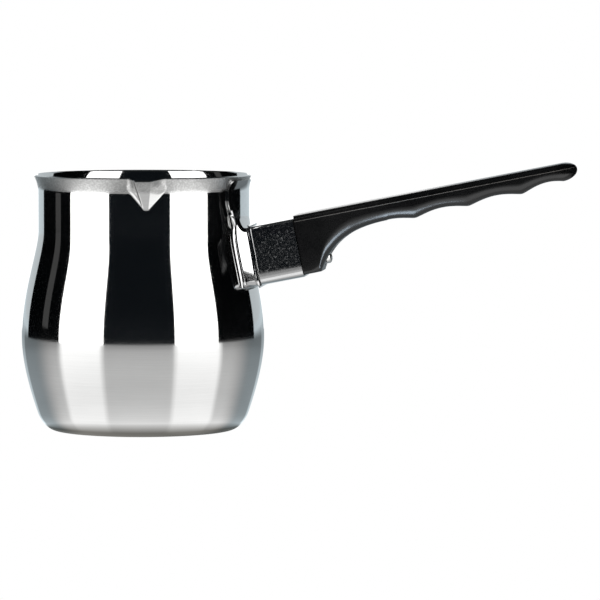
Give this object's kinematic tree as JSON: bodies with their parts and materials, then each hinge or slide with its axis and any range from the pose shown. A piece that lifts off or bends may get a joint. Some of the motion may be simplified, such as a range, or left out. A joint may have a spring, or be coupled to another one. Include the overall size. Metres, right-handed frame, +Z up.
{
  "type": "turkish coffee pot cezve",
  "caption": "Stainless steel Turkish coffee pot with a bulged belly, a pressed pouring lip and one long black moulded side handle.",
  "frame": {"origin": "centre of the flat base, on the pot's axis", "axes": "+Z up along the pot's axis, +X towards the handle; the pouring lip is near -Y"},
  "size_m": [0.2285, 0.0998, 0.1104],
  "materials": {
    "pot_steel": "polished with fine lines around the axis",
    "bracket_steel": "bright stamped sheet",
    "sleeve_steel": "bright sheet, lightly scuffed",
    "black_phenolic": "semi-gloss moulded",
    "screw_steel": "bright",
    "inner_steel": "plain zinc-plated"
  },
  "bodies": {
    "root": {"pot_body": "pot_steel", "handle_bracket": "bracket_steel", "ferrule": "sleeve_steel", "handle_grip": "black_phenolic", "handle_screw": "screw_steel", "lock_washer": "inner_steel", "anchor_strap": "inner_steel", "anchor_nut": "inner_steel"}
  },
  "joints": []
}
